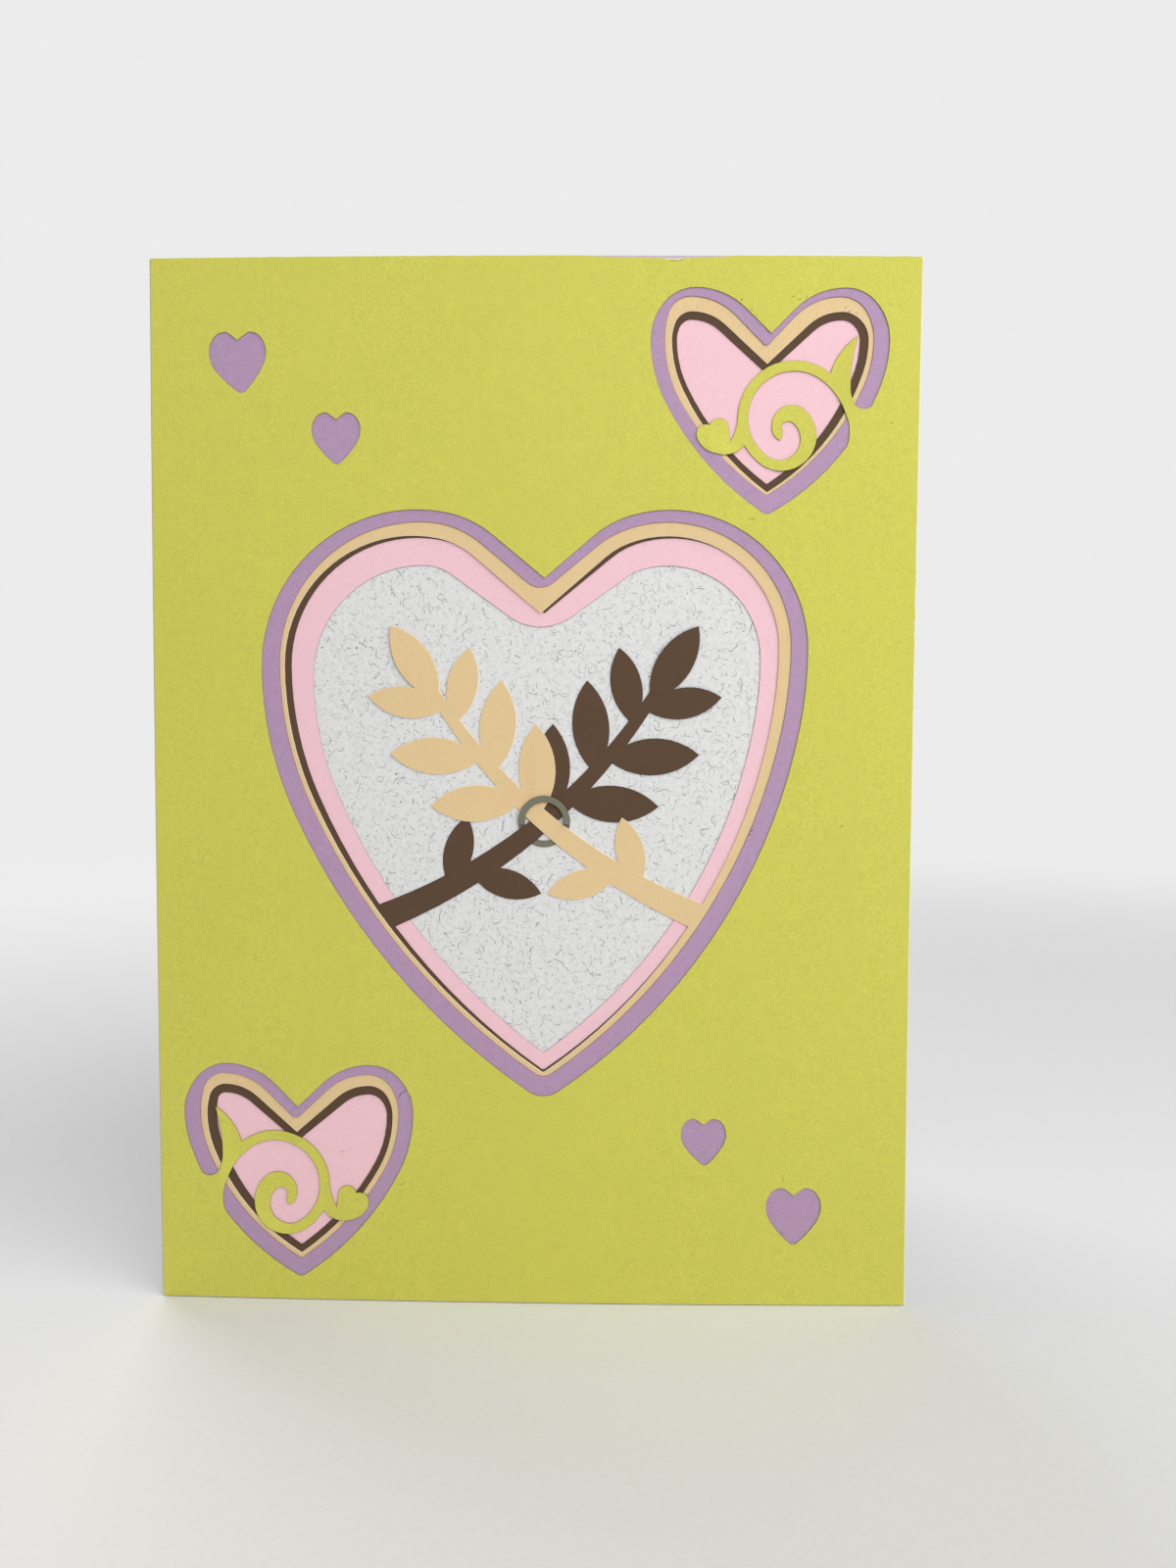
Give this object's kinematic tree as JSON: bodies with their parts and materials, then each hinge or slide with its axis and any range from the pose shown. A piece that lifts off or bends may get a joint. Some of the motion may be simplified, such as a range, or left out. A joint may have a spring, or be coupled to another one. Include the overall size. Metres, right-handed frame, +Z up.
{
  "type": "greeting card",
  "caption": "Folded fibre-paper greeting card standing ajar, its front layered with cut sheets that frame hearts in colours, with crossed leafy sprigs in the large heart and scrolls in the corners.",
  "frame": {"origin": "on the surface the card stands on, under the middle of its box", "axes": "+Z up, the card's height; +X to the right seen from the front, from the fold to the free edge; -Y out of the front"},
  "size_m": [0.129, 0.0756, 0.178],
  "materials": {
    "fibre_paper": "uncoated grey-white paper with short dark fibres",
    "pink_paper": "uncoated",
    "brown_paper": "uncoated",
    "tan_paper": "uncoated",
    "lilac_paper": "uncoated",
    "lime_paper": "uncoated, finely mottled",
    "grey_paper": "uncoated"
  },
  "bodies": {
    "root": {"card_base": "fibre_paper", "pink_sheet": "pink_paper", "brown_sheet": "brown_paper", "tan_sheet": "tan_paper", "lilac_sheet": "lilac_paper", "lime_sheet": "lime_paper", "paper_ring": "grey_paper"}
  },
  "joints": []
}
